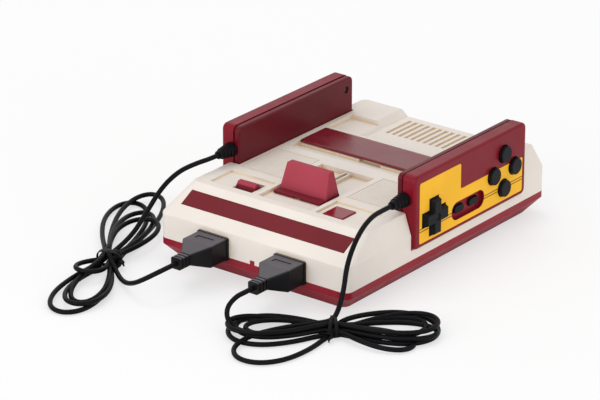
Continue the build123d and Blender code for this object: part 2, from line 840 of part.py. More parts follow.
# Connector that takes the cartridge's card
with BuildPart() as cartridge_connector:
    block((-connector_half, connector_half), connector_y, (board_top, connector_top))
    card_y = (front + connector_mid - card_gap / 2, front + connector_mid + card_gap / 2)
    block((-card_half, card_half), card_y, (connector_top - card_depth, connector_top), Mode.SUBTRACT)
cartridge_connector.part.label = "cartridge_connector"
export_step(cartridge_connector.part, "parts/cartridge_connector.step")

# Screws of the two boards
with BuildPart() as board_screws:
    posts(standoff_places, small_head_radius, board_top, board_top + small_head_height)
    posts(standoff_places, small_screw_radius, base_z + wall, board_top)
    posts(switch_post_places, small_head_radius, board_low_z - small_head_height, board_low_z)
    posts(switch_post_places, small_screw_radius, board_low_z, switch_board_z + small_grip)
board_screws.part.label = "board_screws"
export_step(board_screws.part, "parts/board_screws.step")

# Two ports in the front wall, each a well with nine contacts, standing on the main board
port_front = front + wall + gap
contact_places = [(contact_pitch * (n - 2), contact_pitch / 2) for n in range(5)]
contact_places += [(contact_pitch * (n - 1.5), -contact_pitch / 2) for n in range(4)]
with BuildPart() as controller_ports:
    for x in (-port_x, port_x):
        body_x = (x - port_width / 2 - port_wall, x + port_width / 2 + port_wall)
        body_y = (port_front, port_front + port_body_depth)
        body_top = port_z + port_height / 2 + port_wall
        block(body_x, body_y, (split_z + gap, body_top))
        block(body_x, (body_y[1] - port_foot_depth, body_y[1]), (board_top, body_top))
        well_x = (x - port_width / 2, x + port_width / 2)
        well_z = (port_z - port_height / 2, port_z + port_height / 2)
        block(well_x, (port_front, port_front + port_depth), well_z, Mode.SUBTRACT)
        with BuildSketch(Plane.XZ.offset(-port_front - port_depth)):
            with Locations(*[(x + u, port_z + v) for u, v in contact_places]):
                Circle(contact_radius)
        extrude(amount=contact_length)
controller_ports.part.label = "controller_ports"
export_step(controller_ports.part, "parts/controller_ports.step")

# Sockets in the rear wall for picture and power
socket_front = rear - socket_body_depth
with BuildPart() as rear_sockets:
    for x in (-socket_x, socket_x):
        body_x = (x - socket_width / 2, x + socket_width / 2)
        body_z = (socket_z - socket_height / 2, socket_z + socket_height / 2)
        block(body_x, (socket_front, rear), body_z)
        foot_y = (socket_front - socket_body_depth / 2, board_rear)
        block(body_x, (foot_y[0], socket_front), (board_top, body_z[1]))
        inner_x = (body_x[0] + socket_wall, body_x[1] - socket_wall)
        inner_z = (body_z[0] + socket_wall, body_z[1] - socket_wall)
        block(inner_x, (rear - socket_depth, rear), inner_z, Mode.SUBTRACT)
        tongue_z = (socket_z - socket_wall / 2, socket_z + socket_wall / 2)
        tongue_x = (inner_x[0] + 2 * socket_wall, inner_x[1] - 2 * socket_wall)
        block(tongue_x, (rear - socket_depth, rear - 2 * socket_wall), tongue_z)
rear_sockets.part.label = "rear_sockets"
export_step(rear_sockets.part, "parts/rear_sockets.step")

# Heights inside a controller, counted from its back
face_inner = controller_thickness - face_wall
flange_top = face_inner - gap
flange_low = flange_top - flange_thickness
pad_top = controller_wall + board_lift + board_thickness
mat_top = pad_top + mat_thickness
dome_top = flange_low - button_travel - gap
pill_low = controller_thickness - pill_depth
key_inner = pill_low - pill_floor
key_flange_top = key_inner - gap
key_flange_low = key_flange_top - flange_thickness
key_dome_top = key_flange_low - button_travel - gap
dpad_flange_top = face_inner - dpad_drop
dpad_flange_low = dpad_flange_top - flange_thickness
pivot_top = dpad_flange_low - pivot_gap
pivot_low = pivot_top - pivot_height
dpad_dip = (dpad_press + dpad_dome_radius) * math.sin(math.radians(dpad_tilt))
dpad_dome_top = dpad_flange_low - dpad_dip - gap
shell_post_x = controller_length / 2 - shell_post_inset_x
shell_post_y = controller_height / 2 - shell_post_inset_y
shell_posts = [(-shell_post_x, shell_post_y), (-shell_post_x, -shell_post_y), (shell_post_x, -shell_post_y)]
board_post_x = board_length / 2 - board_post_inset
board_post_y = (board_post_inset - board_low, board_high - board_post_inset)
board_posts = [(x, y) for x in (-board_post_x, board_post_x) for y in board_post_y]
button_turns = {"outer": 0, "upper": 90, "inner": 180, "lower": 270}
key_places = {"select": pill_x - key_spread, "start": pill_x + key_spread}
root_radius = relief_tip_radius + ring_depth


def face_openings(plane):
    """Openings in a controller's face for the cross, the four buttons and the keys' pill."""
    with BuildSketch(plane) as openings:
        with Locations((dpad_x, dpad_y)):
            Rectangle(dpad_span + 2 * dpad_clearance, dpad_arm + 2 * dpad_clearance)
            Rectangle(dpad_arm + 2 * dpad_clearance, dpad_span + 2 * dpad_clearance)
        with Locations((button_x, button_y)):
            with PolarLocations(button_spread, 4):
                Circle(button_radius + button_clearance)
    return openings.sketch


def plate_outline(plane, inset):
    """The stepped outline of the plate on a controller's face."""
    with BuildSketch(plane) as outline:
        with BuildLine():
            Polyline(
                (inset - plate_left, inset - plate_low),
                (plate_right - inset, inset - plate_low),
                (plate_right - inset, plate_notch_y - inset),
                (plate_notch_x - inset, plate_notch_y - inset),
                (plate_notch_x - inset, plate_high - inset),
                (inset - plate_left, plate_high - inset),
                close=True,
            )
        make_face()
        fillet(outline.vertices(), plate_round)
    return outline.sketch


def pill_outline(plane, grow):
    """The long rounded dip around the two keys, grown on every side."""
    with BuildSketch(plane) as outline:
        with Locations((pill_x, pill_y)):
            SlotOverall(pill_length + 2 * grow, pill_width + 2 * grow)
    return outline.sketch


def key_outline(plane, x, grow):
    """The oval of a key, grown on every side."""
    with BuildSketch(plane) as outline:
        with Locations((x, pill_y)):
            SlotOverall(key_length + 2 * grow, key_width + 2 * grow)
    return outline.sketch


# Two controllers: the right one faces right and the left one faces left, and both cords leave at the front
for hand, turn in (("right", 1), ("left", -1)):
    hold = Plane(
        origin=(turn * controller_inner, controller_mid_y, controller_mid_z),
        x_dir=(0, turn, 0),
        z_dir=(turn, 0, 0),
    )
    outward = Axis((0, 0, 0), (turn, 0, 0))
    exit_end = -turn * controller_length / 2
    exit_turn = Location((exit_end, relief_y, relief_depth), (0, -turn * 90, 0))

    # Front shell, with its face openings and screw posts
    with BuildPart(hold) as front_shell:
        with BuildSketch(hold.offset(back_thickness)):
            RectangleRounded(controller_length, controller_height, controller_corner)
        extrude(amount=controller_thickness - back_thickness)
        fillet(front_shell.faces().sort_by(outward)[-1].edges(), face_round)
        inner_length = controller_length - 2 * controller_wall
        inner_height = controller_height - 2 * controller_wall
        with BuildSketch(hold.offset(back_thickness)):
            RectangleRounded(inner_length, inner_height, controller_corner - controller_wall)
        extrude(amount=face_inner - back_thickness, mode=Mode.SUBTRACT)
        posts(shell_posts, shell_post_radius, back_thickness, face_inner)
        posts(shell_posts, small_screw_radius, back_thickness, back_thickness + small_grip, Mode.SUBTRACT)
        bed = plate_outline(hold.offset(controller_thickness - plate_depth), 0)
        extrude(bed, amount=plate_depth + gap, mode=Mode.SUBTRACT)
        extrude(pill_outline(hold.offset(key_inner), pill_floor), amount=face_inner - key_inner)
        extrude(pill_outline(hold.offset(pill_low), 0), amount=pill_depth + gap, mode=Mode.SUBTRACT)
        extrude(face_openings(hold.offset(face_inner)), amount=face_wall, mode=Mode.SUBTRACT)
        for x in key_places.values():
            extrude(key_outline(hold.offset(key_inner), x, gap), amount=pill_floor, mode=Mode.SUBTRACT)
        with Locations(exit_turn):
            Cylinder(root_radius, 4 * controller_wall, mode=Mode.SUBTRACT)
    front_shell.part.label = f"{hand}_controller_front"
    export_step(front_shell.part, f"parts/{hand}_controller_front.step")

    # Back shell, with a groove along the seam, the screw wells and the posts under the board
    with BuildPart(hold) as back_shell:
        back_length = controller_length - 2 * back_inset
        back_height = controller_height - 2 * back_inset
        with BuildSketch(hold):
            RectangleRounded(back_length, back_height, controller_corner - back_inset)
        extrude(amount=back_thickness)
        fillet(back_shell.faces().sort_by(outward)[0].edges(), back_round)
        with BuildSketch(hold.offset(controller_wall)):
            RectangleRounded(inner_length, inner_height, controller_corner - controller_wall)
        extrude(amount=back_thickness - controller_wall, mode=Mode.SUBTRACT)
        with BuildSketch(hold.offset(back_thickness - seam_width)):
            Rectangle(controller_length, controller_height)
            seam_length = back_length - 2 * seam_depth
            seam_height = back_height - 2 * seam_depth
            seam_corner = controller_corner - back_inset - seam_depth
            RectangleRounded(seam_length, seam_height, seam_corner, mode=Mode.SUBTRACT)
        extrude(amount=seam_width, mode=Mode.SUBTRACT)
        posts(shell_posts, shell_post_radius, controller_wall / 2, back_thickness)
        posts(shell_posts, small_screw_radius + gap, 0, back_thickness, Mode.SUBTRACT)
        posts(shell_posts, small_head_radius + gap, 0, small_seat, Mode.SUBTRACT)
        posts(board_posts, board_post_radius, controller_wall / 2, controller_wall + board_lift)
        with Locations(exit_turn):
            Cylinder(root_radius, 4 * controller_wall, mode=Mode.SUBTRACT)
    back_shell.part.label = f"{hand}_controller_back"
    export_step(back_shell.part, f"parts/{hand}_controller_back.step")

    # Screws that hold the two shells
    with BuildPart(hold) as controller_screws:
        posts(shell_posts, small_head_radius, small_seat - small_head_height, small_seat)
        posts(shell_posts, small_screw_radius, small_seat, back_thickness + small_grip)
    controller_screws.part.label = f"{hand}_controller_screws"
    export_step(controller_screws.part, f"parts/{hand}_controller_screws.step")

    # Thin plate on the face
    with BuildPart(hold) as face_plate:
        plate_floor = controller_thickness - plate_depth
        extrude(plate_outline(hold.offset(plate_floor), gap / 2), amount=plate_thickness)
        extrude(face_openings(hold.offset(plate_floor)), amount=plate_thickness, mode=Mode.SUBTRACT)
        extrude(pill_outline(hold.offset(plate_floor), 0), amount=plate_thickness, mode=Mode.SUBTRACT)
    face_plate.part.label = f"{hand}_face_plate"
    export_step(face_plate.part, f"parts/{hand}_face_plate.step")

    # Direction cross, drawn in towards its top, with a round flange under the face
    with BuildPart(hold) as dpad:
        with BuildSketch(hold.offset(dpad_flange_top)):
            with Locations((dpad_x, dpad_y)):
                Rectangle(dpad_span, dpad_arm)
                Rectangle(dpad_arm, dpad_span)
        extrude(amount=controller_thickness - dpad_flange_top)
        extrude(dpad.faces().sort_by(outward)[-1], amount=dpad_rise, taper=dpad_draft)
        fillet(dpad.faces().sort_by(outward)[-1].edges(), 2 * gap)
        posts([(dpad_x, dpad_y)], dpad_flange_radius, dpad_flange_low, dpad_flange_top)
        dimple_low = controller_thickness + dpad_rise - dimple_depth
        dimple_high = controller_thickness + dpad_rise + gap
        posts([(dpad_x, dpad_y)], dimple_radius, dimple_low, dimple_high, Mode.SUBTRACT)
    dpad.part.label = f"{hand}_dpad"
    export_step(dpad.part, f"parts/{hand}_dpad.step")

    # Pivot disc that the cross rocks on
    with BuildPart(hold) as dpad_pivot:
        posts([(dpad_x, dpad_y)], pivot_radius, pivot_low, pivot_top)
    dpad_pivot.part.label = f"{hand}_dpad_pivot"
    export_step(dpad_pivot.part, f"parts/{hand}_dpad_pivot.step")

    # Four round buttons
    for place, degrees in button_turns.items():
        angle = math.radians(degrees)
        middle = (button_x + button_spread * math.cos(angle), button_y + button_spread * math.sin(angle))
        with BuildPart(hold) as button:
            posts([middle], button_radius, flange_low, controller_thickness + button_rise)
            fillet(button.faces().sort_by(outward)[-1].edges(), 2 * gap)
            posts([middle], button_radius + button_flange, flange_low, flange_top)
        button.part.label = f"{hand}_button_{place}"
        export_step(button.part, f"parts/{hand}_button_{place}.step")

    # Two oval keys in the dip
    for place, x in key_places.items():
        with BuildPart(hold) as key:
            extrude(key_outline(hold.offset(key_flange_low), x, 0), amount=pill_low + key_rise - key_flange_low)
            fillet(key.faces().sort_by(outward)[-1].edges(), 2 * gap)
            extrude(key_outline(hold.offset(key_flange_low), x, button_flange), amount=flange_thickness)
        key.part.label = f"{hand}_{place}_key"
        export_step(key.part, f"parts/{hand}_{place}_key.step")

    # Board inside
    with BuildPart(hold) as controller_board:
        board_x = (-board_length / 2, board_length / 2)
        block(board_x, (-board_low, board_high), (pad_top - board_thickness, pad_top))
    controller_board.part.label = f"{hand}_controller_board"
    export_step(controller_board.part, f"parts/{hand}_controller_board.step")

    # Rubber mats with a dome under each button, each key and each arm of the cross
    with BuildPart(hold) as button_mats:
        reach = dpad_press + dpad_dome_radius + mat_margin
        block((board_x[0], dpad_x + reach), (dpad_y - reach, dpad_y + reach), (pad_top, mat_top))
        with Locations((dpad_x, dpad_y, mat_top)):
            with PolarLocations(dpad_press, 4):
                Cylinder(dpad_dome_radius, dpad_dome_top - mat_top, align=on_end)
        posts([(dpad_x, dpad_y)], pivot_radius, pad_top, pivot_low - pivot_gap)
        reach = button_spread + dome_radius + mat_margin
        block((button_x - reach, board_x[1]), (button_y - reach, board_high), (pad_top, mat_top))
        with Locations((button_x, button_y, mat_top)):
            with PolarLocations(button_spread, 4):
                Cylinder(dome_radius, dome_top - mat_top, align=on_end)
        reach = dome_radius + mat_margin
        key_mat_x = (pill_x - key_spread - reach, pill_x + key_spread + reach)
        block(key_mat_x, (pill_y - reach, pill_y + reach), (pad_top, mat_top))
        key_domes = [(x, pill_y) for x in key_places.values()]
        posts(key_domes, key_width / 2, mat_top, key_dome_top)
    button_mats.part.label = f"{hand}_button_mats"
    export_step(button_mats.part, f"parts/{hand}_button_mats.step")

    # Ribbed strain relief at the end where the cord leaves
    with BuildPart(hold) as strain_relief:
        with Locations(exit_turn):
            Cone(relief_base_radius, relief_tip_radius, relief_length, align=on_end)
            Cylinder(root_radius, controller_wall + relief_root, align=(Align.CENTER, Align.CENTER, Align.MAX))
        ring_pitch = relief_length / (ring_count + 1)
        for number in range(ring_count):
            along = (number + 0.5) * ring_pitch
            share = along / relief_length
            ring_radius = relief_base_radius + (relief_tip_radius - relief_base_radius) * share + ring_depth
            with Locations(exit_turn * Location((0, 0, along))):
                Cylinder(ring_radius, ring_width)
    strain_relief.part.label = f"{hand}_strain_relief"
    export_step(strain_relief.part, f"parts/{hand}_strain_relief.step")

# Cord plugs: a hood with a lip, a taper and a grooved neck, and a nose that sits in its port
plug_face = front - gap
neck_start = plug_hood + plug_taper
plug_length = neck_start + plug_neck_length
nose_length = 2 * gap + wall + plug_nose_engaged
for hand, turn in (("right", 1), ("left", -1)):
    seat = Plane(origin=(turn * port_x, plug_face, port_z), x_dir=(1, 0, 0), z_dir=(0, -1, 0))
    with BuildPart(seat) as plug:
        with BuildSketch(seat):
            RectangleRounded(plug_width, plug_height, plug_round)
        extrude(amount=plug_hood)
        with BuildSketch(seat):
            RectangleRounded(plug_width + 2 * plug_lip_rise, plug_height + 2 * plug_lip_rise, plug_round)
        extrude(amount=plug_lip)
        with BuildSketch(seat.offset(plug_hood)):
            RectangleRounded(plug_width, plug_height, plug_round)
        with BuildSketch(seat.offset(neck_start)):
            RectangleRounded(plug_neck, plug_neck, plug_round)
        loft(ruled=True)
        with BuildSketch(seat.offset(neck_start)):
            RectangleRounded(plug_neck, plug_neck, plug_round)
        extrude(amount=plug_neck_length)
        groove_pitch = plug_neck_length / groove_count
        for number in range(groove_count):
            with BuildSketch(seat.offset(neck_start + number * groove_pitch + groove_width)):
                Rectangle(2 * plug_neck, 2 * plug_neck)
                core = plug_neck - 2 * groove_depth
                RectangleRounded(core, core, plug_round / 2, mode=Mode.SUBTRACT)
            extrude(amount=groove_width, mode=Mode.SUBTRACT)
        mark_mid = (plug_hood + plug_lip) / 2
        mark_y = (plug_height / 2 - plug_mark_depth, plug_height)
        mark_z = (mark_mid - plug_mark_length / 2, mark_mid + plug_mark_length / 2)
        block((-plug_mark_width / 2, plug_mark_width / 2), mark_y, mark_z, Mode.SUBTRACT)
        nose_x = port_width / 2 - gap
        nose_y = port_height / 2 - gap
        block((-nose_x, nose_x), (-nose_y, nose_y), (-nose_length, 0))
        posts(contact_places, contact_hole_radius, -nose_length, contact_length - nose_length, Mode.SUBTRACT)
    plug.part.label = f"{hand}_plug"
    export_step(plug.part, f"parts/{hand}_plug.step")

# Cords: each leaves a strain relief or a plug and runs down to its hank on the table
relief_tip = bay_front + bay_clearance - relief_length
cord_x = controller_inner + relief_depth
relief_z = controller_mid_z + relief_y
cord_routes = {
    "left_controller_cord": ((-cord_x, relief_tip, relief_z), left_controller_corners),
    "right_controller_cord": ((cord_x, relief_tip, relief_z), right_controller_corners),
    "left_plug_cord": ((-port_x, -gap - plug_length, port_z), left_plug_corners),
    "right_plug_cord": ((port_x, -gap - plug_length, port_z), right_plug_corners),
}
for name, (exit_place, corners) in cord_routes.items():
    ahead = (exit_place[0], exit_place[1] - straight_run, exit_place[2])
    route = [Vector(x, front + y, z) for x, y, z in (exit_place, ahead, *corners)]
    bends = []
    for before, here, after in zip(route, route[1:], route[2:]):
        half_turn = math.radians((here - before).get_angle(after - here)) / 2
        shorter = min((here - before).length, (after - here).length)
        bends.append(bend_share * shorter / math.tan(half_turn))
    with BuildPart() as cord:
        with BuildLine() as path:
            FilletPolyline(*route, radius=bends)
        with BuildSketch(Plane(origin=path.line @ 0, z_dir=path.line % 0)):
            Circle(cord_diameter / 2)
        sweep()
    filled = cord.part.volume / (math.pi * cord_diameter**2 / 4 * path.wire().length)
    print(name, "bend radii", [round(bend, 1) for bend in bends], "tube share", round(filled, 3))
    cord.part.label = name
    export_step(cord.part, f"parts/{name}.step")


def waist_turn(lobes):
    """The angle of a hank's waist: along the line between the tips of its two lobes."""
    (first, _), (second, _) = lobes
    return math.degrees(math.atan2(second[1] - first[1], second[0] - first[0]))


# Hanks of cord, each two lobes of turns laid flat on the table and drawn in at a waist
for hand, (waist, *lobes) in hank_lobes.items():
    laid_lobes = []
    for tip, half_width in lobes:
        run_x = tip[0] - waist[0]
        run_y = tip[1] - waist[1]
        half_run = (math.hypot(run_x, run_y) + lobe_overlap) / 2
        with BuildPart() as lobe:
            with BuildSketch():
                with Locations((half_run - lobe_overlap, 0)):
                    Ellipse(half_run, half_width)
            extrude(amount=hank_height)
            fillet(lobe.faces().sort_by(Axis.Z)[-1].edges(), hank_round)
        lobe_turn = math.degrees(math.atan2(run_y, run_x))
        laid_lobes.append(Location((waist[0], front + waist[1], 0), (0, 0, lobe_turn)) * lobe.part)
    with BuildPart() as hank:
        with Locations(Location((waist[0], front + waist[1], 0), (0, 0, waist_turn(lobes)))):
            Box(waist_length, hank_waist, hank_height, align=on_end)
        for laid in laid_lobes:
            add(laid)
    hank.part.label = f"{hand}_hank"
    export_step(hank.part, f"parts/{hand}_hank.step")

# Twist ties, one closed around the waist of each hank
with BuildPart() as cord_ties:
    for waist, *lobes in hank_lobes.values():
        with Locations(Location((waist[0], front + waist[1], 0), (0, 0, waist_turn(lobes)))):
            Box(tie_width, hank_waist + 2 * tie_thickness, hank_height + tie_thickness, align=on_end)
            Box(tie_width, hank_waist, hank_height, align=on_end, mode=Mode.SUBTRACT)
cord_ties.part.label = "cord_ties"
export_step(cord_ties.part, "parts/cord_ties.step")
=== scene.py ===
"""Looks of a home game console with two wired controllers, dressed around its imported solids."""

import math

import bpy
from mathutils import Matrix, Vector


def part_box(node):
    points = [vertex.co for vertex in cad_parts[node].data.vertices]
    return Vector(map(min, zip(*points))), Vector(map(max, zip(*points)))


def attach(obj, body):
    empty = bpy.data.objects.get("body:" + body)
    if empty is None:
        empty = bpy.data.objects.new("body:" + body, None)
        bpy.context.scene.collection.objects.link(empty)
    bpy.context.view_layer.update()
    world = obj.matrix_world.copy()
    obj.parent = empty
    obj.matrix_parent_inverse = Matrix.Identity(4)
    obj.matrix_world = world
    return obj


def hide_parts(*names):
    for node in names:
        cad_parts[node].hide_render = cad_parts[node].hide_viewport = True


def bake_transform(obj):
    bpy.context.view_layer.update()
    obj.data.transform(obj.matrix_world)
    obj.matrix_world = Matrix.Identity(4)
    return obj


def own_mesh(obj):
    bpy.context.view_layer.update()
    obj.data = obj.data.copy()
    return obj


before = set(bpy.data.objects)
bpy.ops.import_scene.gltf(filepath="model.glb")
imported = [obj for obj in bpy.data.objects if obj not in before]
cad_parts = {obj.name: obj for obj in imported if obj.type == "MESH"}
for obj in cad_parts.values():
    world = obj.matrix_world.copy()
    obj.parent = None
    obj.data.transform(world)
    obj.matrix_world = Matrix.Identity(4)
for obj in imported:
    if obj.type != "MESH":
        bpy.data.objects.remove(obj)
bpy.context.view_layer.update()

bl_info = {
    "name": "Console Looks",
    "version": (1, 0, 0),
    "blender": (4, 5, 0),
    "location": "View3D > Sidebar > Console",
    "description": "Cords, ties, spring, finishes and stage of a game console with two controllers",
    "category": "Object",
}

MM = 0.001
CONSOLE_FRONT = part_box("top_shell")[0].y
HANDS = ("left", "right")


def colour(name, description, default):
    """A colour that a user may change."""
    return bpy.props.FloatVectorProperty(
        name=name, description=description, default=default, subtype="COLOR", size=3, min=0, max=1
    )


def size(name, description, default):
    """A length in metres that a user may change."""
    return bpy.props.FloatProperty(name=name, description=description, default=default, unit="LENGTH")


def share(name, description, default):
    """A plain number that a user may change."""
    return bpy.props.FloatProperty(name=name, description=description, default=default, min=0)


class StageSettings(bpy.types.PropertyGroup):
    """Floor, lamps and camera."""

    floor_size: size("Floor size", "Side of the square floor", 14.0)
    floor_colour: colour("Floor colour", "Colour of the floor and the backdrop", (0.97, 0.97, 0.97))
    sky: share("Sky", "Light that comes from all round", 0.77)
    key_power: share("Key lamp", "Power of the lamp overhead, in watts", 13.0)
    key_size: size("Key lamp size", "Side of the lamp overhead", 1.3)
    front_power: share("Front lamp", "Power of the large low lamp before the front, in watts", 42.0)
    front_size: size("Front lamp size", "Side of the large low lamp before the front", 2.4)
    side_power: share("Side lamp", "Power of the low lamp at the right, in watts", 16.0)
    side_size: size("Side lamp size", "Side of the low lamp at the right", 1.6)
    floor_glow: share("Floor glow", "Share of plain white that the camera sees in the floor", 0.6)
    camera_place: bpy.props.FloatVectorProperty(
        name="Camera place",
        description="Where the camera stands",
        default=(1.27366, -1.71774, 0.91296),
        subtype="TRANSLATION",
        unit="LENGTH",
    )
    camera_aim: bpy.props.FloatVectorProperty(
        name="Camera aim",
        description="The way the camera looks",
        default=(-0.56241, 0.73243, -0.38371),
        subtype="DIRECTION",
    )
    camera_roll: bpy.props.FloatProperty(
        name="Camera roll",
        description="Turn about the line of sight",
        default=math.radians(0.10),
        subtype="ANGLE",
    )
    lens: bpy.props.FloatProperty(
        name="Lens", description="Focal length of the camera", default=214.25, unit="CAMERA"
    )


class CordSettings(bpy.types.PropertyGroup):
    """Cords and their ties."""

    diameter: size("Cord diameter", "Thickness of a controller's cord", 0.0032)
    left_length: size("Left length", "Length of the left controller's cord", 1.487)
    right_length: size("Right length", "Length of the right controller's cord", 1.625)
    tie_width: size("Tie width", "Width of a twist tie", 0.0022)
    tie_thickness: size("Tie thickness", "Thickness of a twist tie", 0.0007)
    tie_reach: size("Tie reach", "Half of a tied bundle's width", 0.0082)
    tie_rise: size("Tie rise", "Height of a tied bundle", 0.0106)


class SpringSettings(bpy.types.PropertyGroup):
    """Spring behind the eject lever."""

    wire: size("Wire", "Thickness of the spring's wire", 0.0009)
    travel: size("Travel", "How far the lever presses the spring", 0.018)
    turns: bpy.props.IntProperty(name="Turns", description="Turns of the spring", default=8, min=2)


class FinishSettings(bpy.types.PropertyGroup):
    """Colours of the plastics, rubbers and metals, and of painted shade and sheen."""

    cream: colour("Cream", "Upper case", (0.82, 0.755, 0.69))
    # Painted shade colour that the upper case takes in its hollows.
    tan: colour("Tan", "Upper case where light hardly reaches", (0.74, 0.57, 0.37))
    crimson: colour("Crimson", "Controllers' shells", (0.205, 0.004, 0.014))
    # Painted shade: the back covers are the shells' crimson made darker, standing in for the shade on the
    # controllers' inner faces.
    shaded_back_red: colour("Back red", "Back covers of the controllers", (0.115, 0.003, 0.009))
    base_red: colour("Base red", "Lower case", (0.275, 0.008, 0.022))
    lever_red: colour("Lever red", "Eject lever and power knob", (0.38, 0.052, 0.078))
    # Painted shade colour for the lever's foot and for the lever's and knob's hollows.
    foot_shade_red: colour("Foot red", "Eject lever's foot and where light hardly reaches", (0.13, 0.005, 0.014))
    flap_red: colour("Flap red", "Flap over the cartridge slot", (0.175, 0.005, 0.014))
    reset_red: colour("Reset red", "Reset button", (0.24, 0.004, 0.016))
    label_red: colour("Label red", "Label on the front slope", (0.165, 0.016, 0.023))
    yellow: colour("Yellow", "Plates on the controllers' faces", (0.95, 0.50, 0.026))
    plate_line: colour("Plate line", "Lines printed on the plates", (0.06, 0.022, 0.014))
    black: colour("Black", "Buttons, keys and connectors", (0.008, 0.008, 0.010))
    rubber: colour("Rubber", "Cords, plugs and strain reliefs", (0.004, 0.004, 0.005))
    # Painted sheen: a pale colour mixed into the plugs' upward-facing faces, standing in for the light they
    # catch.
    bloom: colour("Bloom", "Pale bloom on the plugs' tops", (0.095, 0.086, 0.096))
    grey: colour("Grey", "Feet and button mats", (0.12, 0.12, 0.12))
    green: colour("Green", "Circuit boards", (0.02, 0.12, 0.05))
    steel: colour("Steel", "Screws and hinge pin", (0.55, 0.55, 0.56))
    dark_steel: colour("Dark steel", "Screws of the controllers", (0.06, 0.05, 0.05))
    spring_steel: colour("Spring steel", "Spring behind the eject lever", (0.5, 0.5, 0.52))


# Node graphs of the finishes

# Scales of the noises, and the height of the fine grain in metres
CLOUD_SCALE = 26
SPECKLE_SCALE = 2300
EDGE_WEAR_AND_HIGHLIGHT_SCALE = 90
SMUDGE_SCALE = 60
BUMP_HEIGHT = 0.0002


def add_node(tree, kind, settings=None, **values):
    """Adds a node, sets its options and the values of its named sockets."""
    made = tree.nodes.new(kind)
    for name, value in (settings or {}).items():
        setattr(made, name, value)
    for name, value in values.items():
        made.inputs[name.replace("_", " ")].default_value = value
    return made


def tint(base, scale):
    """A colour made lighter or darker."""
    return tuple(min(1.0, part * scale) for part in base) + (1.0,)


def blend_colours(tree, factor, first, second):
    """Mixes two colours, each a socket or a plain colour, by a socket."""
    mix = tree.nodes.new("ShaderNodeMix")
    mix.data_type = "RGBA"
    tree.links.new(factor, mix.inputs[0])
    for socket, value in ((mix.inputs[6], first), (mix.inputs[7], second)):
        if isinstance(value, bpy.types.NodeSocket):
            tree.links.new(value, socket)
        else:
            socket.default_value = value
    return mix.outputs[2]


def spread(tree, socket, low, high, to_low, to_high):
    """Maps a socket's range onto another range, smoothly and held at both ends."""
    made = add_node(tree, "ShaderNodeMapRange", {"interpolation_type": "SMOOTHSTEP"})
    tree.links.new(socket, made.inputs["Value"])
    for name, value in zip(("From Min", "From Max", "To Min", "To Max"), (low, high, to_low, to_high)):
        made.inputs[name].default_value = value
    return made.outputs["Result"]


def grain(tree, place, scale, detail=2.0):
    """A noise of that scale on the piece's own coordinates."""
    made = add_node(tree, "ShaderNodeTexNoise", Scale=scale, Detail=detail)
    tree.links.new(place, made.inputs["Vector"])
    return made.outputs["Fac"]


